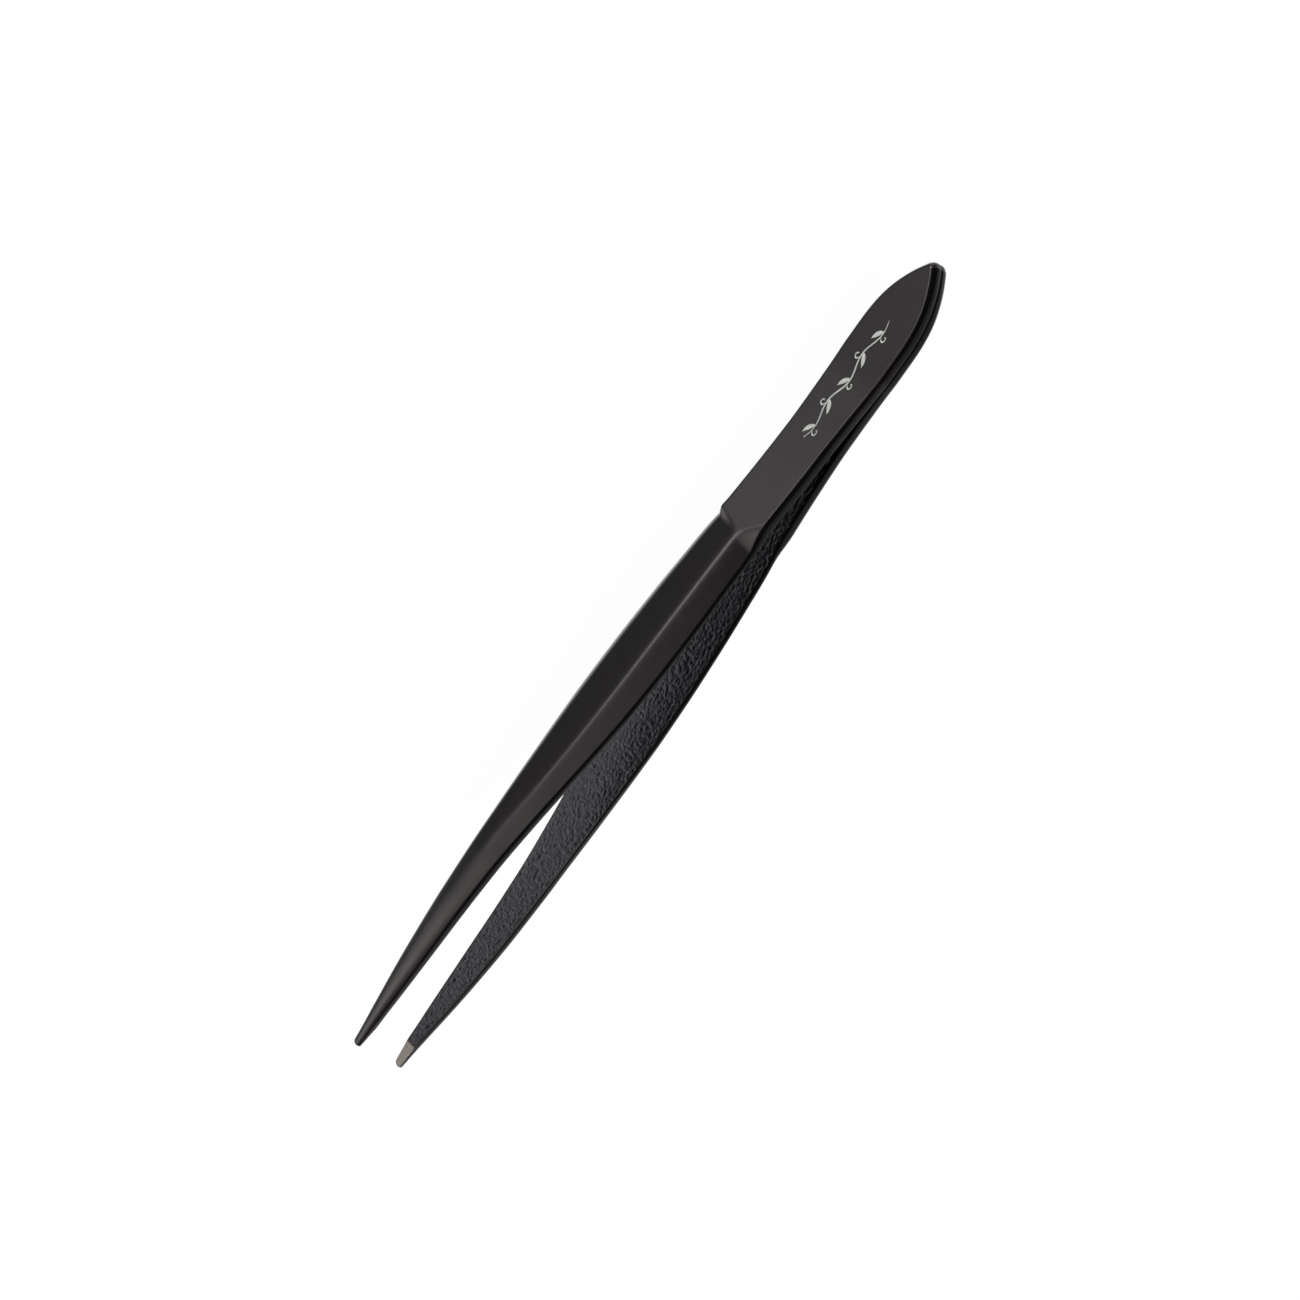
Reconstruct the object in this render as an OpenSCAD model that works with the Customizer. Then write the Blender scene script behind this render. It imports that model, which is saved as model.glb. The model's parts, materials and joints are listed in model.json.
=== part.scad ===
// Slant tweezers: two mirrored spring-steel arms, spot welded together at the heel.
// X runs from the heel to the tips, Y crosses the gap, and Z is up through the width of the arms.
// The origin lies under the middle of the tool, on the surface that its side edges rest on.
// Each arm bends like a leaf spring. A captured round knuckle stands for that bend.

/* [Overall size] */
// Length from the heel end to the tips
overall_length = 95; // [88:1:105]
// Thickness of the steel
steel = 1; // [1:0.05:1.2]
// Width of the heel plates
heel_width = 8.5; // [8.2:0.1:8.9]
// Width of the waist between the heel and the blades
waist_width = 7.6; // [7.3:0.1:7.9]
// Widest part of the blades
blade_width = 9.4; // [9:0.1:9.8]
// Width of the tips at their very end
tip_width = 1; // [0.8:0.1:1.3]

/* [Gap between the arms] */
// Widest gap between the relaxed arms
bow_gap = 6.4; // [6.2:0.1:6.8]
// Gap between the ends of the relaxed tips
tip_gap = 5.6; // [5.2:0.1:5.8]
// Length of the heel over which the arms touch
contact_length = 13.5; // [13:0.1:15]

/* [Blades] */
// Slope of the broad flank below the ridge, in degrees
lower_flank_angle = 5; // [4:0.5:6]
// Slope of the narrow flank above the ridge, in degrees
upper_flank_angle = 9; // [8:0.5:10]
// Slant of the tip ends, in degrees
tip_slant = 14; // [0:1:25]
// Length of the ground gripping face inside each tip
grip_length = 2.7; // [2:0.1:3.5]

/* [Flex knuckle] */
// Distance of the bending axis from the heel end
flex_x = 26; // [25:0.1:27]
// Radius of the knuckle that each blade turns on
knuckle_r = 0.34; // [0.32:0.01:0.36]
// Running clearance around the knuckle
knuckle_clearance = 0.05; // [0.02:0.01:0.06]

/* [Welds] */
// Radius of each spot-weld nugget
nugget_r = 1.3; // [0.8:0.1:1.6]
// Thickness of each nugget, half of it in each arm
nugget_thickness = 0.6; // [0.3:0.1:0.8]
// Depth of the weld that closes the seam at the nose
nose_weld_depth = 0.45; // [0.3:0.05:0.6]

/* [Hidden] */

$fn = 96;
coating = "#2c2a29";
bare_steel = "#b9b2a9";
reach = 2 * blade_width;         // longer than any cut has to be
nose_length = 9.5;               // the nose widens over this length
nose_r = 0.85;                   // radius of the very end of the nose
nose_spread = 42;                // half the angle at which the round nose opens
nose_share = 0.08;               // share of the heel width that the nose curve starts with
nose_fullness = 2.5;             // power of the nose curve: more is rounder
shoulder_x = 0.325 * overall_length; // the flat heel face ends here
nugget_xs = [5, 9.6];
nose_weld_height = 0.8;
neck = 0.29;                     // from the knuckle's axis to the blade's end face
horn_gap = 0.06;                 // air between the heel's lips and the blade's end face
closed_gap = 0.01;               // half the gap that is left when the tips meet
blade_step = 3;                  // spacing of the blade's sections
ridge_cover = 0.05;              // keeps the side outline clear of the ridge

// Width of the arms, as [distance from the heel end, width]
widths = [
    [nose_length, heel_width],
    [0.12 * overall_length, heel_width],
    [0.23 * overall_length, waist_width],
    [0.31 * overall_length, waist_width],
    [0.36 * overall_length, 0.93 * blade_width],
    [0.44 * overall_length, 0.975 * blade_width],
    [0.50 * overall_length, blade_width],
    [0.60 * overall_length, 0.925 * blade_width],
    [0.70 * overall_length, 0.72 * blade_width],
    [0.80 * overall_length, 0.53 * blade_width],
    [0.90 * overall_length, 0.39 * blade_width],
    [0.96 * overall_length, 0.25 * blade_width],
    [overall_length, tip_width]
];

half_bow = bow_gap / 2;
flex_gap = 0.17 * half_bow;      // distance of the inner face from the middle plane at the bending axis
// The bending axis runs through the middle of the steel
flex_y = flex_gap + steel / 2;
// Turning each arm by this angle brings the gripping faces together
tip_reach = norm([overall_length - flex_x, tip_gap / 2 - flex_y]);
closing_angle = atan2(tip_gap / 2 - flex_y, overall_length - flex_x)
    + asin((flex_y - closed_gap) / tip_reach);

// Distance of each arm's inner face from the middle plane
half_gaps = [
    [contact_length, 0],
    [flex_x, flex_gap],
    [0.36 * overall_length, 0.41 * half_bow],
    [0.50 * overall_length, 0.64 * half_bow],
    [0.60 * overall_length, 0.81 * half_bow],
    [0.68 * overall_length, 0.93 * half_bow],
    [0.77 * overall_length, half_bow],
    [0.88 * overall_length, 0.955 * half_bow],
    [overall_length - grip_length, tip_gap / 2 - grip_length * tan(closing_angle)]
];

// Thickness of the arms along the ridge
thicknesses = [
    [0, steel],
    [0.76 * overall_length, steel],
    [0.94 * overall_length, 0.65 * steel],
    [overall_length, 0.25 * steel]
];

// Height of the ridge above the middle of the blade: off the centre line, and central at the tips
ridge_heights = [
    [shoulder_x, 0.16 * blade_width],
    [0.62 * overall_length, 0.16 * blade_width],
    [0.84 * overall_length, 0]
];

// Smooth curve through a table of [x, value] that never overshoots its points
function rise(table, i) = (table[i + 1][1] - table[i][1]) / (table[i + 1][0] - table[i][0]);
function slope(table, i) =
    i == 0 ? rise(table, 0)
    : i == len(table) - 1 ? rise(table, i - 1)
    : rise(table, i - 1) * rise(table, i) <= 0 ? 0
    : 2 * rise(table, i - 1) * rise(table, i) / (rise(table, i - 1) + rise(table, i));
function share(table, i, x) = (x - table[i][0]) / (table[i + 1][0] - table[i][0]);
function blend(table, i, span, u) =
    table[i][1] * (1 + 2 * u) * pow(1 - u, 2)
    + slope(table, i) * span * u * pow(1 - u, 2)
    + table[i + 1][1] * u * u * (3 - 2 * u)
    + slope(table, i + 1) * span * u * u * (u - 1);
function smooth_at(table, x, i = 0) =
    x <= table[0][0] ? table[0][1]
    : x >= table[len(table) - 1][0] ? table[len(table) - 1][1]
    : x > table[i + 1][0] ? smooth_at(table, x, i + 1)
    : blend(table, i, table[i + 1][0] - table[i][0], share(table, i, x));

// The heel's nose: a round end that opens into a curve and meets the straight sides
nose_arc_end = nose_r * (1 - sin(nose_spread));
function nose_half_width(x) =
    x < nose_arc_end
        ? sqrt(max(0, nose_r * nose_r - pow(nose_r - x, 2)))
        : heel_width / 2 * (1 - (1 - nose_share) * pow(1 - x / nose_length, nose_fullness));
function half_width(x) = x < nose_length ? nose_half_width(x) : smooth_at(widths, x) / 2;

function inner_y(x) =
    x > overall_length - grip_length
        ? tip_gap / 2 - (overall_length - x) * tan(closing_angle)
        : smooth_at(half_gaps, x);
function outer_y(x) = inner_y(x) + smooth_at(thicknesses, x);

// Distances from the heel end at which the outlines have a point
nose_xs = [0, 0.06, 0.15, nose_arc_end, 0.6, 1.2, 2, 3, 4, 5, 6, 7, 8, nose_length];
waist_xs = [11.4, contact_length, 17, 20, 23, flex_x, 29];
blade_xs = [for (x = shoulder_x; x < overall_length - grip_length - 1; x = x + blade_step) x];
all_xs = concat(nose_xs, waist_xs, blade_xs, [overall_length - grip_length, overall_length]);

// Height of the flank cuts over the ridge line: clear of the heel, and down to the ridge along the blade
function flank_lift(x) = x <= shoulder_x ? steel : 0;

function there_and_back(near, far) = concat(near, [for (i = [len(far) - 1:-1:0]) far[i]]);

module width_outline() {
    upper = [for (x = all_xs) if (x > 0) [x, half_width(x)]];
    polygon(there_and_back([for (x = all_xs) [x, -half_width(x)]], upper));
}

// The flat outer face of the heel, and along the blade just clear of the ridge that the flanks make
module side_outline() {
    outer = [for (x = all_xs) [x, outer_y(x) + (x <= shoulder_x ? 0 : ridge_cover)]];
    polygon(there_and_back([for (x = all_xs) [x, inner_y(x)]], outer));
}

// Side view of what a flank leaves, for a flank that is made upright and then tilted
module flank_outline(tilt) {
    top = [for (x = all_xs)
        [x, (outer_y(x) + flank_lift(x) + smooth_at(ridge_heights, x) * tan(tilt)) * cos(tilt)]];
    polygon(there_and_back([[0, -reach], [overall_length, -reach]], top));
}

// Everything inside a flank of the outer face
module flank(tilt) {
    rotate([tilt, 0, 0]) linear_extrude(2 * reach, center = true) flank_outline(tilt);
}

// One arm in one piece, on the +Y side, with its heel end at x = 0
module arm_blank() {
    difference() {
        intersection() {
            linear_extrude(reach, center = true) side_outline();
            rotate([90, 0, 0]) linear_extrude(2 * reach, center = true) width_outline();
            flank(upper_flank_angle);
            flank(-lower_flank_angle);
        }
        slant_cut();
    }
}

// Everything past the slanted end of the tips, whose upper corner is the longer one
module slant_cut() {
    translate([overall_length, 0, tip_width / 2])
        rotate([0, -tip_slant, 0])
            translate([0, -reach, -reach])
                cube(2 * reach);
}

module beyond(x) {
    translate([x, -reach, -reach]) cube([overall_length, 2 * reach, 2 * reach]);
}

module knuckle(r, length) {
    translate([flex_x, flex_y, 0]) cylinder(r = r, h = length, center = true);
}

module nuggets() {
    for (x = nugget_xs)
        translate([x, 0, 0]) rotate([90, 0, 0]) cylinder(r = nugget_r, h = nugget_thickness, center = true);
}

module nose_bead() {
    intersection() {
        rotate([90, 0, 0]) linear_extrude(nose_weld_height, center = true) width_outline();
        translate([-1, -1, -reach]) cube([1 + nose_weld_depth, 2, 2 * reach]);
    }
}

module heel() {
    difference() {
        arm_blank();
        beyond(flex_x + neck - horn_gap);
        knuckle(knuckle_r + knuckle_clearance, reach);
        nuggets();
        nose_bead();
    }
}

module blade() {
    intersection() {
        arm_blank();
        beyond(flex_x + neck);
    }
    knuckle(knuckle_r, waist_width - 0.2);
}

// From the heel end to the origin under the middle of the tool
module placed() {
    translate([-overall_length / 2, 0, blade_width / 2]) children();
}

module front_heel() {
    color(coating) placed() mirror([0, 1, 0]) heel();
}

module front_blade() {
    color(coating) placed() mirror([0, 1, 0]) blade();
}

module rear_heel() {
    color(coating) placed() heel();
}

module rear_blade() {
    color(coating) placed() blade();
}

module spot_welds() {
    color(bare_steel) placed() nuggets();
}

module nose_weld() {
    color(coating) placed() nose_bead();
}

front_heel();
front_blade();
rear_heel();
rear_blade();
spot_welds();
nose_weld();
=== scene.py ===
# Slant tweezers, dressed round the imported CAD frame. Metres, in the frame's own axes:
# +X from the heel to the tips, +Y across the gap from the front arm to the rear arm, +Z up.
import json
import math

import bmesh
import bpy
import numpy as np
from mathutils import Matrix, Vector


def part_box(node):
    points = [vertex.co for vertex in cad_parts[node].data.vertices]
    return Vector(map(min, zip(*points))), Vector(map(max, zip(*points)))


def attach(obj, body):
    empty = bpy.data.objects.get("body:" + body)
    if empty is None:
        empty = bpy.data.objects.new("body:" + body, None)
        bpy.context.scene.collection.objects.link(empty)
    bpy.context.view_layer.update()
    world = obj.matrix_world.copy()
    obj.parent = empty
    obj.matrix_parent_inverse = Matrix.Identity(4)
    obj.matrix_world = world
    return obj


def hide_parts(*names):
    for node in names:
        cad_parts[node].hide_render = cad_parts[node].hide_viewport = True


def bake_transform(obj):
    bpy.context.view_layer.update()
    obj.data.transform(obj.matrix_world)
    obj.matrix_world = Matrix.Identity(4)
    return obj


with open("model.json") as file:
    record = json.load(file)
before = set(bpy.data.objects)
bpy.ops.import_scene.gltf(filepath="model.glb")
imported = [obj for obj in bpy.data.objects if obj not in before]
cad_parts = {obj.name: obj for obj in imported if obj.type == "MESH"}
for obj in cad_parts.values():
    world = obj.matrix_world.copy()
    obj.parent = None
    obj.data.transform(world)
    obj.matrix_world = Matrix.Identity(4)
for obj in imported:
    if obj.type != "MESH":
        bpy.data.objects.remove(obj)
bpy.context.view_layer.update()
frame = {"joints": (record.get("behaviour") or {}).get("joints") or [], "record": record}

# ---- Sizes that come from the frame
mm = 0.001
mounts = {mount["name"]: mount for mount in frame["record"]["mounts"]}
joints = {joint["name"]: joint for joint in frame["joints"]}
heel_low, heel_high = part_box("front_heel")
blade_low, blade_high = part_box("front_blade")
weld_low, weld_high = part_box("nose_weld")
heel_end = heel_low.x
length = blade_high.x - heel_end
heel_width = heel_high.z - heel_low.z
blade_width = blade_high.z - blade_low.z
mid_z = mounts["rear_heel_face"]["pos_m"][2]
steel = mounts["rear_heel_face"]["pos_m"][1]
half_bow = -blade_low.y - steel
closing_angle = math.radians(joints["front_flex"]["range_deg"][1])
grip_middle = mounts["rear_grip_face"]["pos_m"][0] - heel_end
grip_start = length - 2 * (length - grip_middle)
half_tip_gap = mounts["rear_grip_face"]["pos_m"][1] + (length - grip_middle) * math.tan(closing_angle)

# ---- Sizes of the details
nose_length = 0.1 * length       # the nose widens over this length
nose_r = 0.75 * steel            # radius of the very end of the nose
nose_spread = math.radians(42)   # half the angle at which the round nose opens
nose_share = 0.10                # share of the heel width that the nose curve starts with
nose_fullness = 2.5              # power of the nose curve: more is rounder
tip_width = 1.15 * mm
tip_thickness = 0.28 * steel
tip_slant = math.radians(8)      # slant of the tip ends
slant_run = 4 * mm               # the slant grows over this length
tip_round = 0.3 * mm             # length of the rounding at the very end
shoulder_x = 0.342 * length      # the flat heel face ends here, on the ridge
shoulder_run = 1.1 * mm          # length of the step down to the flanks, on the ridge
upper_sweep = 1.4 * mm           # the step runs back towards the heel by this much at the upper edge
lower_sweep = 0.5 * mm           # and by this much at the lower edge
upper_run = 3.0                  # and is this much more gradual at the upper edge
crest_r = 0.45 * mm              # softness of the ridge
lower_slope = math.tan(math.radians(4.5))            # the broad flank under the ridge
upper_slope = math.tan(math.radians(9.5))            # the narrow flank over it
roll_r = 2.5 * mm                # the blade rolls over its lower edge with this radius where it is widest
roll_width = 1.35 * mm           # over this width from the edge
round_drop = 0.32                # fall of the half-round back, as a share of the steel
plain_heel = 17 * mm             # the inner face is plain up to here
pebble_start = 20 * mm           # and fully pebbled from here
edge_start = 0.1 * mm            # the pebbles start to rise this far from the edge
plain_edge = 0.55 * mm           # and have risen this far from it
pebble_height = 0.11 * mm
pebble_fade = (0.6 * mm, 0.1 * mm)                   # the pebbles end between these distances from the grip
pebble_cells = (0.50 * mm, 0.31 * mm)                # size of the coarse grains and of the fine ones
pebble_weights = (0.6, 0.4)      # their shares of the relief
pebble_shifts = (7 * mm, 3 * mm)                     # set the grains of the two arms apart
pebble_seeds = (11, 12)
jitter_count = 4096              # random places that the grains pick from
jitter_strides = (73, 1151)      # keep the picks of neighbouring columns and rows apart
grain_reach = 0.7                # squared distance, in cells, at which a grain has sunk into the crease
least_radius = 0.01 * mm         # of an outer edge
least_side = 0.02 * mm           # height of the flat side that the round edges leave
face_bias = 1.4                  # crowds the outer face's columns towards the ridge
most_crest = 0.6                 # share of the half width that the ridge can be off centre
facet_off = 9                    # keeps the outer skin out of the bare facet
weld_power = 0.8                 # fullness of the weld metal

# Shapes along the arm, as (share of the length, value) pairs
widths = [
    (0.100, heel_width), (0.120, heel_width), (0.145, 0.970 * heel_width),
    (0.186, 0.920 * heel_width), (0.225, 0.890 * heel_width), (0.318, 0.895 * heel_width),
    (0.361, 0.900 * blade_width), (0.400, 0.935 * blade_width), (0.442, 0.970 * blade_width),
    (0.495, 0.985 * blade_width), (0.558, 0.955 * blade_width), (0.600, 0.895 * blade_width),
    (0.653, 0.787 * blade_width), (0.711, 0.662 * blade_width), (0.752, 0.585 * blade_width),
    (0.794, 0.525 * blade_width), (0.835, 0.470 * blade_width), (0.876, 0.405 * blade_width),
    (0.917, 0.325 * blade_width), (0.958, 0.225 * blade_width), (0.979, 0.170 * blade_width),
    (1.000, tip_width),
]
half_gaps = [
    (0.10, 0), (0.132, 0), (0.186, 0.044 * half_bow), (0.242, 0.116 * half_bow), (0.274, 0.172 * half_bow),
    (0.330, 0.295 * half_bow), (0.390, 0.423 * half_bow), (0.484, 0.590 * half_bow),
    (0.558, 0.710 * half_bow), (0.632, 0.825 * half_bow), (0.711, 0.940 * half_bow),
    (0.770, 0.995 * half_bow), (0.810, half_bow), (0.876, 0.960 * half_bow),
    (grip_start / length, half_tip_gap - (length - grip_start) * math.tan(closing_angle)),
]
thicknesses = [(0, steel), (0.76, steel), (0.86, 0.88 * steel), (0.94, 0.65 * steel), (1, tip_thickness)]
ridge_heights = [(0.33, 0.075 * blade_width), (0.46, 0.105 * blade_width), (0.55, 0.116 * blade_width),
                 (0.60, 0.108 * blade_width), (0.66, 0.082 * blade_width), (0.74, 0)]
roundness = [(0.66, 0), (0.84, 1)]                   # from a ridged roof to a half-round back
outer_radii = [(0, 0.70 * steel), (0.03, 0.60 * steel), (0.06, 0.5 * steel), (0.31, 0.5 * steel),
               (0.37, 0.36 * steel), (0.70, 0.36 * steel), (0.95, 0.2 * steel), (1, 0.08 * steel)]
inner_radii = [(0, 0.2 * steel), (0.95, 0.12 * steel), (grip_start / length, 0.03 * steel)]


def smooth(table, x):
    """A monotone curve through (share of the length, value) pairs, level beyond both ends."""
    at, value = np.array(table, float).T
    at = at * length
    rise = np.diff(value) / np.diff(at)
    turn = rise[:-1] * rise[1:]
    middle = np.where(turn > 0, 2 * turn / np.where(turn > 0, rise[:-1] + rise[1:], 1), 0)
    slope = np.concatenate((rise[:1], middle, rise[-1:]))
    i = np.clip(np.searchsorted(at, x) - 1, 0, len(at) - 2)
    span = at[i + 1] - at[i]
    u = np.clip((x - at[i]) / span, 0, 1)
    return (value[i] * (1 + 2 * u) * (1 - u) ** 2 + slope[i] * span * u * (1 - u) ** 2
            + value[i + 1] * u * u * (3 - 2 * u) + slope[i + 1] * span * u * u * (u - 1))


def ramp(x, start, end):
    u = np.clip((x - start) / (end - start), 0, 1)
    return u * u * (3 - 2 * u)


def half_width(x):
    """Half the width of an arm: round nose, heel, waist, blade and a blunt round tip."""
    arc_end = nose_r * (1 - math.sin(nose_spread))
    arc = np.sqrt(np.maximum(nose_r ** 2 - (nose_r - x) ** 2, 0))
    open_nose = np.clip(1 - x / nose_length, 0, 1) ** nose_fullness
    curve = heel_width / 2 * (1 - (1 - nose_share) * open_nose)
    side = np.where(x < nose_length, curve, smooth(widths, x) / 2)
    into_tip = np.clip((x - (length - tip_round)) / tip_round, 0, 1)
    return np.where(x < arc_end, arc, side) * np.sqrt(1 - into_tip ** 2)


def inner_y(x):
    facet = half_tip_gap - (length - x) * math.tan(closing_angle)
    return np.where(x > grip_start, facet, smooth(half_gaps, x))


def fall(x, z):
    """How far the outer face lies under the full thickness of the steel."""
    half = np.maximum(smooth(widths, x) / 2, tip_width / 2)
    from_ridge = z - smooth(ridge_heights, x)
    slope = np.where(from_ridge > 0, upper_slope, lower_slope)
    roof = slope * (np.sqrt(from_ridge ** 2 + crest_r ** 2) - crest_r)
    scale = half / (blade_width / 2)
    into_roll = np.clip(roll_width - (half + z) / scale, 0, roll_width)
    rolled = scale * (roll_r - np.sqrt(roll_r ** 2 - into_roll ** 2))
    back = round_drop * smooth(thicknesses, x) * (z / half) ** 2
    share = smooth(roundness, x)
    sweep = np.where(from_ridge > 0, upper_sweep, lower_sweep) * np.abs(from_ridge) / half
    run = shoulder_run * (1 + upper_run * np.clip(from_ridge / half, 0, 1))
    step = ramp(x, shoulder_x - sweep - run / 2, shoulder_x - sweep + run / 2)
    return step * (rolled + roof * (1 - share) + back * share)


# The outer face at its fullest: the inner face and the steel, then one curve over the grip to the tip
backs = [(share, float(smooth(half_gaps, share * length) + smooth(thicknesses, share * length)))
         for share, _ in half_gaps[:-1]] + [(1, half_tip_gap + tip_thickness)]


def outer_y(x, z):
    """The outer face: flat on the heel, then a ridge between two flanks, then half round."""
    return smooth(backs, x) - fall(x, z)


def pebbles(x, z, cell, seed):
    """Rounded grains with creases between them: 0 in a crease and 1 on top of a grain."""
    jitter = np.random.default_rng(seed).random((jitter_count, 2))
    column, row = np.floor(x / cell), np.floor(z / cell)
    nearest = np.full(x.shape, np.inf)
    for dc in (-1, 0, 1):
        for dr in (-1, 0, 1):
            pick = (column + dc) * jitter_strides[0] + (row + dr) * jitter_strides[1]
            key = pick.astype(int) % jitter_count
            away_x = x / cell - (column + dc + jitter[key, 0])
            away_z = z / cell - (row + dr + jitter[key, 1])
            nearest = np.minimum(nearest, away_x ** 2 + away_z ** 2)
    return 1 - np.clip(nearest / grain_reach, 0, 1)


def pebbled_share(x, from_edge):
    """1 where the inner face is pebbled, fading to 0 on the heel, along the edges and before the grip."""
    before_grip = 1 - ramp(x, grip_start - pebble_fade[0], grip_start - pebble_fade[1])
    return ramp(x, plain_heel, pebble_start) * before_grip * ramp(from_edge, edge_start, plain_edge)


def steps(start, end, spacing):
    """Even steps from start up to, and not including, end."""
    return np.linspace(start, end, math.ceil((end - start) / spacing), endpoint=False)


def stations():
    """Distances from the heel end at which an arm has a section."""
    nose = nose_r * (1 - np.cos(np.linspace(0, math.pi / 2 - nose_spread, 9)))
    heel = steps(nose[-1] + 0.15 * mm, plain_heel, 0.25 * mm)
    waist = steps(plain_heel, shoulder_x - 2 * mm, 0.14 * mm)
    shoulder = steps(shoulder_x - 2 * mm, shoulder_x + 2 * mm, 0.08 * mm)
    blade = steps(shoulder_x + 2 * mm, grip_start, 0.14 * mm)
    grip = steps(grip_start, length - tip_round, 0.1 * mm)
    tip = length - tip_round + tip_round * np.sin(np.linspace(0, math.pi / 2, 7))
    return np.concatenate((nose, heel, waist, shoulder, blade, grip, tip))


def outline_normals(x, half):
    """Outward unit normals (along x, across) of the plan outline at each station."""
    along, across = np.gradient(x), np.gradient(half)
    size = np.hypot(along, across)
    normal = np.stack((-across / size, along / size))
    normal[:, 0] = (-1, 0)
    normal[:, -1] = (1, 0)
    return normal


def arm_mesh(name, side):
    """One arm from nose to tip as a closed skin: inner face, round edges, sides and outer face."""
    x = stations()[:, None]
    half = half_width(x)
    normal_x, normal_z = outline_normals(x[:, 0], half[:, 0])[:, :, None]
    inner_r = smooth(inner_radii, x)

    quarter = np.linspace(0, math.pi / 2, 6)[None, :]
    fine_quarter = np.linspace(0, math.pi / 2, 13)[None, :]
    rows_x, rows_y, rows_z, rows_inner = [], [], [], []

    def add(px, py, pz, inner):
        rows_x.append(px)
        rows_y.append(py)
        rows_z.append(pz)
        rows_inner.append(np.full(px.shape, float(inner)))

    def edge_radius(sign):
        room = outer_y(x, sign * half) - inner_y(x) - inner_r
        return np.clip(smooth(outer_radii, x), least_radius, np.maximum(room - least_side, least_radius))

    def edge_ring(sign):
        outer_r = edge_radius(sign)
        inset = inner_r * (1 - np.sin(quarter))
        inner = (x - inset * normal_x, inner_r * (1 - np.cos(quarter)), half - inset * normal_z)
        inset = outer_r * (1 - np.cos(fine_quarter))
        px, pz = x - inset * normal_x, half - inset * normal_z
        outer = (px, outer_y(px, sign * pz) - inner_y(px) - outer_r * (1 - np.sin(fine_quarter)), pz)
        return [np.concatenate(pair, axis=1) for pair in zip(inner, outer)]

    def outer_face(u):
        inset = edge_radius(1) * (1 + u) / 2 + edge_radius(-1) * (1 - u) / 2
        px = x - inset * normal_x
        reach = half - inset * normal_z
        crest = np.clip(smooth(ridge_heights, x), -most_crest * reach, most_crest * reach)
        pz = crest + np.sign(u) * (reach - np.sign(u) * crest) * np.abs(u) ** face_bias
        return px, outer_y(px, pz) - inner_y(px), pz

    def inner_face(u):
        px = x - inner_r * normal_x + 0 * u
        reach = half - inner_r * normal_z
        pz = u * reach
        pebbled = pebbled_share(px, reach - np.abs(pz))
        coarse = pebbles(px + pebble_shifts[0] * side, pz, pebble_cells[0], pebble_seeds[0])
        fine = pebbles(px, pz + pebble_shifts[1] * side, pebble_cells[1], pebble_seeds[1])
        grain = coarse * pebble_weights[0] + fine * pebble_weights[1]
        return px, pebble_height * pebbled * (0.5 - grain), pz, pebbled

    right = edge_ring(1)
    left = edge_ring(-1)
    add(right[0], right[1], right[2], 0)
    px, py, pz = outer_face(np.linspace(1, -1, 72)[None, 1:-1])
    add(px, py, pz, 0)
    add(left[0][:, ::-1], left[1][:, ::-1], -left[2][:, ::-1], 0)
    px, py, pz, pebbled = inner_face(np.linspace(-1, 1, 64)[None, 1:-1])
    add(px, py, pz, 1)

    px, py, pz, inner = [np.concatenate(rows, axis=1) for rows in (rows_x, rows_y, rows_z, rows_inner)]
    slant = ramp(px, length - slant_run, length - tip_round) * math.tan(tip_slant)
    y = inner_y(px) + py
    points = np.stack((heel_end + px + slant * (pz - tip_width / 2), side * y, mid_z + pz), axis=-1)
    rows, columns = px.shape
    index = np.arange(rows * columns).reshape(rows, columns)
    a, b = index[:-1], index[1:]
    quads = np.stack((a, np.roll(a, -1, 1), np.roll(b, -1, 1), b), axis=-1).reshape(-1, 4)
    if side < 0:
        quads = quads[:, ::-1]
    mesh = bpy.data.meshes.new(name)
    mesh.from_pydata(points.reshape(-1, 3).tolist(), [], quads.tolist())
    facet = mesh.attributes.new("facet", "FLOAT", "POINT")
    into_facet = (px - grip_start) / mm * inner - facet_off * (1 - inner)
    facet.data.foreach_set("value", into_facet.ravel().astype(np.float32))
    inside = mesh.attributes.new("inside", "FLOAT", "POINT")
    textured = np.concatenate((np.zeros((rows, columns - pebbled.shape[1])), pebbled), axis=1)
    inside.data.foreach_set("value", textured.ravel().astype(np.float32))
    rest = mesh.attributes.new("rest", "FLOAT_VECTOR", "POINT")
    rest.data.foreach_set("vector", (points / mm).ravel().astype(np.float32))
    return clean(mesh)


def clean(mesh):
    """Joins the doubled points at both ends and smooths the shading."""
    work = bmesh.new()
    work.from_mesh(mesh)
    bmesh.ops.remove_doubles(work, verts=work.verts, dist=1e-7)
    bmesh.ops.dissolve_degenerate(work, dist=1e-8, edges=work.edges)
    bmesh.ops.recalc_face_normals(work, faces=work.faces)
    for face in work.faces:
        face.smooth = True
    work.to_mesh(mesh)
    work.free()
    return mesh


def blob(centre, radii, power):
    """A closed rounded body: an ellipsoid for power 1, and fuller for a smaller power."""
    around = np.linspace(0, 2 * math.pi, 49)[:-1]
    upward = np.linspace(-math.pi / 2, math.pi / 2, 25)
    turn, rise = np.meshgrid(around, upward)
    full_x = np.sign(np.cos(turn)) * np.abs(np.cos(turn)) ** power
    full_z = np.sign(np.sin(turn)) * np.abs(np.sin(turn)) ** power
    ring = np.cos(rise) ** power
    height = np.sign(rise) * np.abs(np.sin(rise)) ** power
    unit = np.stack((full_x * ring, height, full_z * ring), axis=-1)
    return np.array(centre) + unit * np.array(radii)


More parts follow.
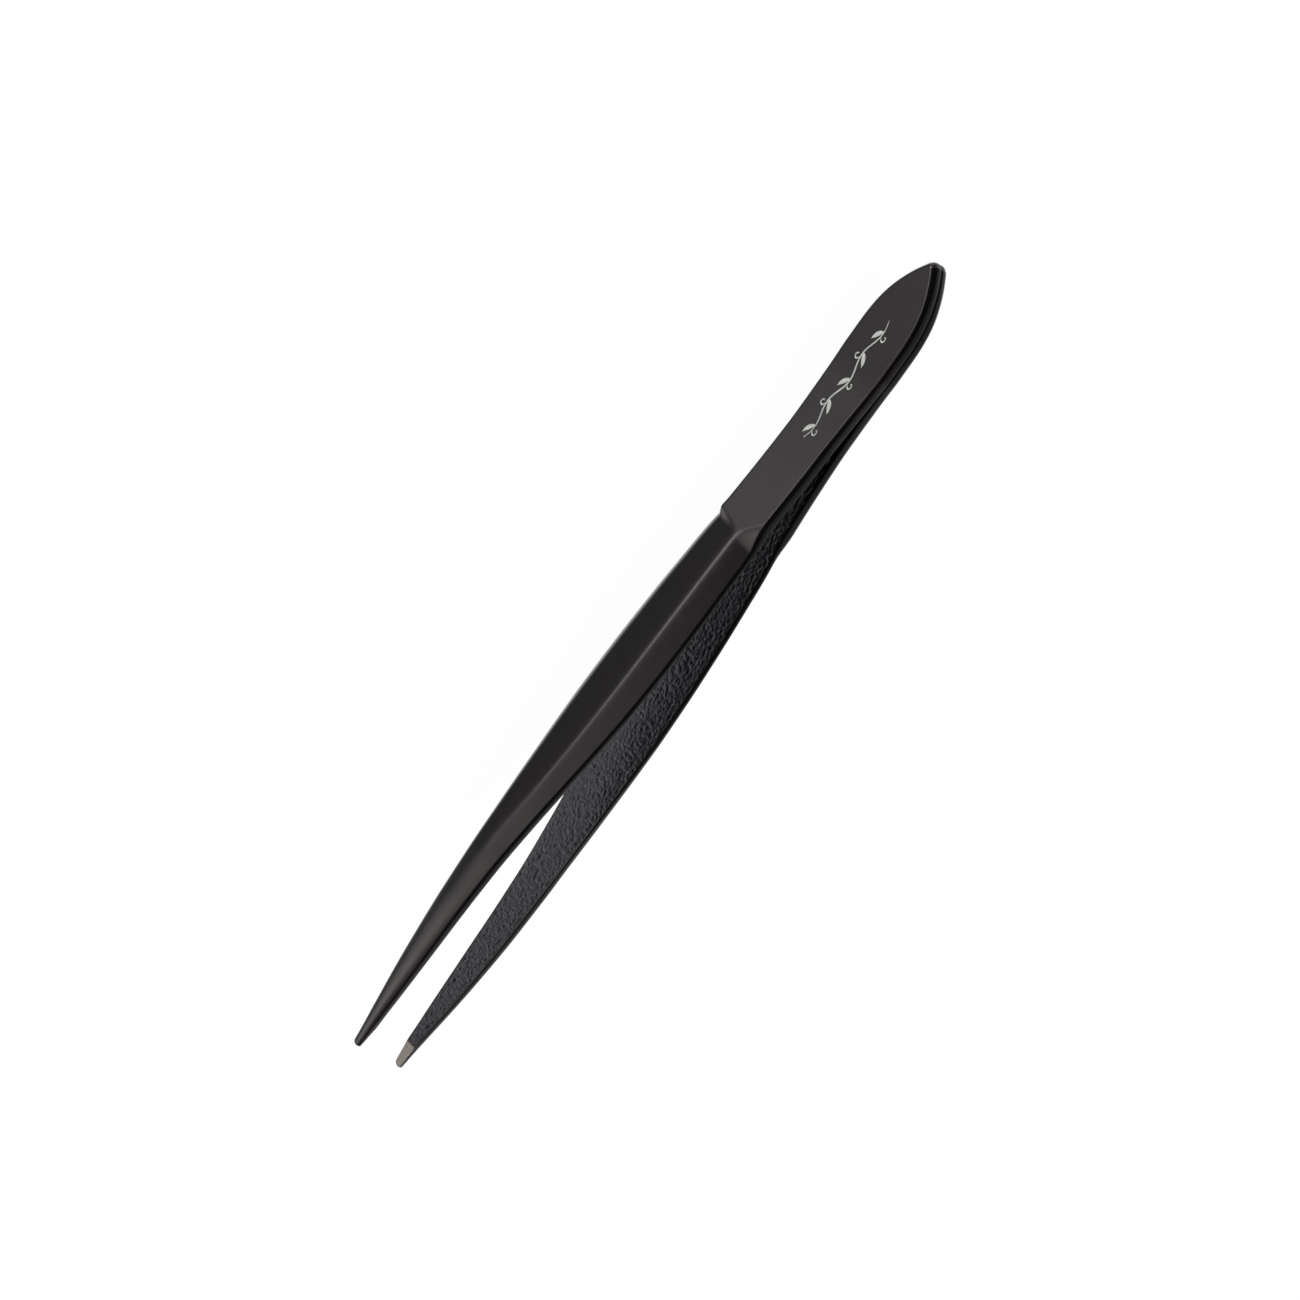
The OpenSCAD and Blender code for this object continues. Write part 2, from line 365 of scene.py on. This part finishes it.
def grid_mesh(name, grids):
    """One mesh from (rows, columns, 3) grids that close round their columns."""
    points, faces, offset = [], [], 0
    for grid in grids:
        rows, columns = grid.shape[:2]
        index = np.arange(rows * columns).reshape(rows, columns) + offset
        a, b = index[:-1], index[1:]
        faces += np.stack((a, np.roll(a, -1, 1), np.roll(b, -1, 1), b), axis=-1).reshape(-1, 4).tolist()
        faces += [index[0][::-1].tolist(), index[-1].tolist()]
        points += grid.reshape(-1, 3).tolist()
        offset += rows * columns
    mesh = bpy.data.meshes.new(name)
    mesh.from_pydata(points, [], faces)
    return clean(mesh)


def stroke(x, z, half_thickness):
    """A raised line of silver along (x, z) on the front heel face, arched over its width."""
    along_x, along_z = np.gradient(x), np.gradient(z)
    size = np.hypot(along_x, along_z)
    across = np.array((-1, -1, -0.6, 0.6, 1, 1))
    height = np.array((-0.03, 0.006, 0.02, 0.02, 0.006, -0.03)) * mm
    px = x[:, None] - (along_z / size * half_thickness)[:, None] * across
    pz = z[:, None] + (along_x / size * half_thickness)[:, None] * across
    py = -(outer_y(px, pz) + height)
    return np.stack((heel_end + px, py, mid_z + pz), axis=-1)


def vine():
    """A generic trailing vine: a waving stem with a leaf and a curled tendril at each bend."""
    start = 7.2 * mm
    end = 21.2 * mm
    waves = 2.5
    sway = 0.42 * mm
    low = -0.2 * mm                  # the vine runs this far under the middle of the heel face
    leaf_reach = 1.75 * mm

    def stem_z(x):
        return low + sway * np.sin((x - start) / (end - start) * 2 * math.pi * waves)

    x = np.linspace(start, end, 120)
    share = np.linspace(0, 1, 120)
    lines = [stroke(x, stem_z(x), 0.04 * mm + 0.085 * mm * np.sin(math.pi * share) ** 0.5)]
    bends = int(2 * waves)
    for i in range(bends):
        side = 1 if i % 2 == 0 else -1
        root = start + (end - start) * (i + 0.42) / bends
        t = np.linspace(0, 1, 24)
        leaf_x = root + leaf_reach * 0.75 * t
        leaf_z = stem_z(root) - side * leaf_reach * (0.62 * t + 0.12 * np.sin(math.pi * t))
        lines.append(stroke(leaf_x, leaf_z, 0.012 * mm + 0.28 * mm * np.sin(math.pi * t ** 0.8)))
        turn = t * 1.6 * math.pi
        curl_r = 0.42 * mm * (1 - 0.6 * t)
        curl_x = root + 0.55 * mm + curl_r * np.sin(turn)
        curl_z = stem_z(root + 0.3 * mm) + side * (0.5 * mm - curl_r * np.cos(turn) + 0.02 * mm)
        lines.append(stroke(curl_x, curl_z, 0.03 * mm + 0.06 * mm * np.sin(math.pi * t) ** 0.5))
    return grid_mesh("heel_vine_mark", lines)


def place(mesh, material):
    piece = bpy.data.objects.new(mesh.name, mesh)
    bpy.context.scene.collection.objects.link(piece)
    mesh.materials.clear()
    mesh.materials.append(material)
    return piece


# ---- Materials
outside_colour = (0.0052, 0.0044, 0.0040)
# The pebbled inside's colour is partly its own duller tone and partly painted sheen: it is lifted to stand
# in for light that its grains would catch.
inside_tone_and_painted_sheen = (0.0135, 0.0122, 0.0180)
outside_gloss = (1.0, 0.925, 0.905)
inside_gloss = (0.80, 0.75, 0.88)
facet_colour = (0.22, 0.20, 0.175)
steel_colour = (0.62, 0.59, 0.55)
silver_colour = (0.72, 0.71, 0.69)


class Nodes:
    """A short way to write node trees, such as n.add("ShaderNodeMath") and n.link(a, 0, b, 1)."""

    def __init__(self, tree):
        self.tree = tree
        tree.nodes.clear()

    def add(self, kind, inputs=None, **settings):
        node = self.tree.nodes.new(kind)
        for key, value in settings.items():
            setattr(node, key, value)
        for key, value in (inputs or {}).items():
            node.inputs[key].default_value = value
        return node

    def link(self, source, out, target, into):
        self.tree.links.new(source.outputs[out], target.inputs[into])

    def math(self, operation, a, b=None, clamp=False):
        node = self.add("ShaderNodeMath", operation=operation, use_clamp=clamp)
        for slot, value in enumerate((a, b)):
            if isinstance(value, (int, float)):
                node.inputs[slot].default_value = value
            elif value is not None:
                self.tree.links.new(value, node.inputs[slot])
        return node.outputs[0]


def new_material(name):
    material = bpy.data.materials.new(name)
    material.use_nodes = True
    return material, Nodes(material.node_tree)


def coating_material():
    """Satin black coating, smooth outside and leathery inside with its colour lifted as painted sheen, and
    bare ground steel on the grip facet.
    """
    material, n = new_material("black_coating")
    rest = n.add("ShaderNodeAttribute", attribute_name="rest")
    inside = n.add("ShaderNodeAttribute", attribute_name="inside").outputs["Fac"]
    facet = n.add("ShaderNodeAttribute", attribute_name="facet").outputs["Fac"]

    def noise(scale, detail=3.0, roughness=0.5):
        node = n.add("ShaderNodeTexNoise", {"Scale": scale, "Detail": detail, "Roughness": roughness})
        n.link(rest, "Vector", node, "Vector")
        return node.outputs["Fac"]

    cells = {"Scale": 2.6, "Smoothness": 0.7, "Randomness": 1.0}
    grain = n.add("ShaderNodeTexVoronoi", cells, feature="SMOOTH_F1")
    n.link(rest, "Vector", grain, "Vector")
    fine = noise(7.0, 2.0)
    creased = n.math("MULTIPLY", grain.outputs["Distance"], -0.11)
    leather = n.math("ADD", creased, n.math("MULTIPLY", fine, 0.05))
    peel = n.math("MULTIPLY", noise(5.5, 4.0, 0.6), 0.004)
    height = n.math("ADD", n.math("MULTIPLY", leather, inside), peel)
    bump = n.add("ShaderNodeBump", {"Strength": 1.0, "Distance": mm})
    n.tree.links.new(height, bump.inputs["Height"])

    coat = n.add("ShaderNodeBsdfPrincipled", {"IOR": 1.5})
    # Base colour: the outside's black, turning to the inside's colour, with its painted sheen, where the
    # inner face is pebbled.
    tint = n.add("ShaderNodeMix", data_type="RGBA")
    tint.inputs["A"].default_value = (*outside_colour, 1)
    tint.inputs["B"].default_value = (*inside_tone_and_painted_sheen, 1)
    n.tree.links.new(inside, tint.inputs["Factor"])
    n.link(tint, "Result", coat, "Base Color")
    gloss = n.add("ShaderNodeMix", data_type="RGBA")
    gloss.inputs["A"].default_value = (*outside_gloss, 1)
    gloss.inputs["B"].default_value = (*inside_gloss, 1)
    n.tree.links.new(inside, gloss.inputs["Factor"])
    n.link(gloss, "Result", coat, "Specular Tint")
    rough = n.math("ADD", 0.14, n.math("MULTIPLY", noise(1.1, 4.0, 0.6), 0.06))
    n.tree.links.new(n.math("ADD", rough, n.math("MULTIPLY", inside, 0.18)), coat.inputs["Roughness"])
    n.link(bump, "Normal", coat, "Normal")

    ground_steel = {"Metallic": 1.0, "Base Color": (*facet_colour, 1), "Roughness": 0.42}
    bare = n.add("ShaderNodeBsdfPrincipled", ground_steel)
    across = n.add("ShaderNodeMapping", {"Scale": (14, 2, 1.2)})
    n.link(rest, "Vector", across, "Vector")
    scratch = n.add("ShaderNodeTexNoise", {"Scale": 1.6, "Detail": 5.0})
    n.link(across, "Vector", scratch, "Vector")
    ground = n.add("ShaderNodeBump", {"Strength": 0.6, "Distance": 0.03 * mm})
    n.link(scratch, "Fac", ground, "Height")
    n.link(ground, "Normal", bare, "Normal")

    wavy = n.math("ADD", facet, n.math("MULTIPLY", n.math("SUBTRACT", noise(1.8), 0.5), 0.9))
    is_bare = n.math("MULTIPLY", n.math("SUBTRACT", wavy, 0.12), 14.0, clamp=True)
    mix = n.add("ShaderNodeMixShader")
    n.tree.links.new(is_bare, mix.inputs[0])
    n.link(coat, "BSDF", mix, 1)
    n.link(bare, "BSDF", mix, 2)
    out = n.add("ShaderNodeOutputMaterial")
    n.link(mix, "Shader", out, "Surface")
    return material


def steel_material(name, colour, roughness, metallic=1.0):
    """Metal, bare or coated, with a fine mottled grain."""
    material, n = new_material(name)
    place_at = n.add("ShaderNodeTexCoord")
    grain = n.add("ShaderNodeTexNoise", {"Scale": 4000.0, "Detail": 4.0})
    n.link(place_at, "Object", grain, "Vector")
    metal = n.add("ShaderNodeBsdfPrincipled", {"Metallic": metallic, "Base Color": (*colour, 1)})
    rough = n.math("ADD", roughness, n.math("MULTIPLY", grain.outputs["Fac"], 0.15))
    n.tree.links.new(rough, metal.inputs["Roughness"])
    bump = n.add("ShaderNodeBump", {"Strength": 0.3, "Distance": 0.01 * mm})
    n.link(grain, "Fac", bump, "Height")
    n.link(bump, "Normal", metal, "Normal")
    out = n.add("ShaderNodeOutputMaterial")
    n.link(metal, "BSDF", out, "Surface")
    return material


coating = coating_material()
bare_steel = steel_material("bare_steel", steel_colour, 0.3)
silver_mark = steel_material("silver_mark", silver_colour, 0.42)
weld_coating = steel_material("coated_weld", outside_colour, 0.2, metallic=0.0)

# ---- The two arms
for arm, side, joint in (("front", -1, "front_arm"), ("rear", 1, "rear_arm")):
    piece = place(arm_mesh(arm + "_spring_arm", side), coating)
    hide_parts(arm + "_heel", arm + "_blade")
    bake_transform(piece)

# ---- The welds and the mark
spots_low, spots_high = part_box("spot_welds")
nugget_r = (spots_high.z - spots_low.z) / 2
nugget_radii = (nugget_r, spots_high.y, nugget_r)
nugget_xs = (spots_low.x + nugget_r, spots_high.x - nugget_r)
nuggets = [blob((x, 0, mid_z), nugget_radii, weld_power) for x in nugget_xs]
bead_radii = (0.9 * (weld_high.x - weld_low.x), 0.6 * weld_high.y, 0.6 * (weld_high.z - mid_z))
bead = blob((weld_low.x + bead_radii[0], 0, mid_z), bead_radii, weld_power)
for mesh, material, slot, node in (
    (grid_mesh("spot_weld_nuggets", nuggets), bare_steel, "bare_steel", "spot_welds"),
    (grid_mesh("nose_weld_bead", [bead]), weld_coating, "black_coating", "nose_weld"),
    (vine(), silver_mark, "bare_steel", None),
):
    piece = place(mesh, material)
    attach(piece, "heel")
    if node:
        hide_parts(node)

# ---- Studio
alpha = math.radians(51)         # the camera stands this far round from the front face, towards the top
phi = math.radians(-7.5)         # and this far towards the heel
to_camera = Vector((math.sin(phi), -math.cos(phi) * math.cos(alpha), math.cos(phi) * math.sin(alpha)))
distance = 1.0
frame_width = 126 * mm           # how much the picture shows at the tool
sensor = 36                      # millimetres, as the camera takes it
aim_x = 46.86 * mm               # the camera aims this far from the heel end
aim_off = 1.25 * mm              # and this far to the side
floor_reach = 3.0
roll = math.radians(54.5)        # the tips point this far below the picture's left


def make_camera():
    camera = bpy.data.cameras.new("camera")
    camera.sensor_width = sensor
    camera.lens = sensor * distance / frame_width
    camera.clip_start = 0.05
    camera.clip_end = 10
    holder = bpy.data.objects.new("camera", camera)
    bpy.context.scene.collection.objects.link(holder)
    along = (Vector((1, 0, 0)) - to_camera * to_camera.x).normalized()
    across = to_camera.cross(along)
    right = -math.cos(roll) * along + math.sin(roll) * across
    up = -math.sin(roll) * along - math.cos(roll) * across
    middle = Vector((heel_end + aim_x, 0, mid_z)) - across * aim_off
    turn = Matrix((right, up, to_camera)).transposed().to_4x4()
    holder.matrix_world = Matrix.Translation(middle + to_camera * distance) @ turn
    bpy.context.scene.camera = holder


def make_floor():
    mesh = bpy.data.meshes.new("floor")
    corners = [(x * floor_reach, y * floor_reach, 0) for x, y in ((-1, -1), (1, -1), (1, 1), (-1, 1))]
    mesh.from_pydata(corners, [], [(0, 1, 2, 3)])
    material, n = new_material("floor")
    pale = n.add("ShaderNodeBsdfDiffuse", {"Color": (0.10, 0.10, 0.10, 1)})
    glow = n.add("ShaderNodeEmission", {"Color": (1, 1, 1, 1), "Strength": 0.97})
    both = n.add("ShaderNodeAddShader")
    n.link(pale, "BSDF", both, 0)
    n.link(glow, "Emission", both, 1)
    out = n.add("ShaderNodeOutputMaterial")
    n.link(both, "Shader", out, "Surface")
    floor = place(mesh, material)
    floor.visible_glossy = False


# Light round the tool's length, as (degrees from -Y towards +Z, brightness), from level with the camera
level_ring = [
    (-180, 0.9), (-129, 1.5), (-90, 1.5), (-80, 1.1), (-74, 0.5), (-68, 0.2), (-62, 0.12),
    (-57, 0.2), (-52, 0.5), (-47, 1.6), (-43, 6.0), (-39, 1.2), (-36, 0.06), (-26, 0.14),
    (-8, 0.04), (60, 0.03), (90, 0.25), (129, 0.32), (180, 0.9),
]
# and from further towards the tips
tips_ring = [
    (-180, 0.9), (-129, 1.5), (-90, 1.5), (-80, 1.1), (-74, 0.5), (-66, 0.2), (-58, 0.14),
    (-54, 0.26), (-51, 0.52), (-45, 0.62), (-40, 0.8), (-34, 1.15), (-28, 1.1), (-21, 0.5),
    (-14, 0.2), (0, 0.05), (60, 0.03), (90, 0.25), (129, 0.32), (180, 0.9),
]
level_tilt = 0.045               # the light changes from the level ring to the tips' ring between these two
tips_tilt = 0.085                # tilts towards the tips
full_tilt = 0.13                 # past this tilt the tips' ring turns and grows
tilt_turn = 75 / 360             # by this share of a circle for each unit of tilt
tilt_gain = 6.0                  # and by this share of its brightness
most_tilt = 0.3                  # up to this much further


def light_ramp(n, ring, angle):
    """The brightness of a ring at an angle, given as a share of the circle from -180 degrees."""
    node = n.add("ShaderNodeValToRGB")
    n.tree.links.new(angle, node.inputs["Fac"])
    top = max(value for _, value in ring)
    elements = node.color_ramp.elements
    for degrees, value in ring[1:-1]:
        elements.new(degrees / 360 + 0.5).color = (value / top, value / top, value / top, 1)
    for end in (0, -1):
        value = ring[end][1]
        elements[end].color = (value / top, value / top, value / top, 1)
    return n.math("MULTIPLY", node.outputs["Color"], top)


def make_world():
    world = bpy.data.worlds.new("studio")
    bpy.context.scene.world = world
    world.use_nodes = True
    n = Nodes(world.node_tree)
    direction = n.add("ShaderNodeTexCoord")
    split = n.add("ShaderNodeSeparateXYZ")
    n.link(direction, "Generated", split, "Vector")
    angle = n.math("ARCTAN2", split.outputs["Z"], n.math("MULTIPLY", split.outputs["Y"], -1.0))
    where = n.math("ADD", n.math("DIVIDE", angle, 2 * math.pi), 0.5)
    tilt = split.outputs["X"]
    past = n.math("MINIMUM", n.math("MAXIMUM", n.math("SUBTRACT", tilt, full_tilt), 0.0), most_tilt)
    turned = n.math("ADD", where, n.math("MULTIPLY", past, tilt_turn))
    share = n.math("DIVIDE", n.math("SUBTRACT", tilt, level_tilt), tips_tilt - level_tilt, clamp=True)
    level = n.math("MULTIPLY", light_ramp(n, level_ring, where), n.math("SUBTRACT", 1.0, share))
    tips = n.math("MULTIPLY", light_ramp(n, tips_ring, turned), share)
    grown = n.math("MULTIPLY", tips, n.math("ADD", n.math("MULTIPLY", past, tilt_gain), 1.0))
    light = n.add("ShaderNodeBackground", {"Color": (1, 1, 1, 1)})
    n.tree.links.new(n.math("ADD", level, grown), light.inputs["Strength"])
    white = n.add("ShaderNodeBackground", {"Color": (1, 1, 1, 1), "Strength": 1.0})
    path = n.add("ShaderNodeLightPath")
    mix = n.add("ShaderNodeMixShader")
    n.link(path, "Is Camera Ray", mix, 0)
    n.link(light, "Background", mix, 1)
    n.link(white, "Background", mix, 2)
    out = n.add("ShaderNodeOutputWorld")
    n.link(mix, "Shader", out, "Surface")


make_camera()
make_floor()
make_world()
bpy.context.scene.view_settings.view_transform = "Standard"

bpy.context.view_layer.update()
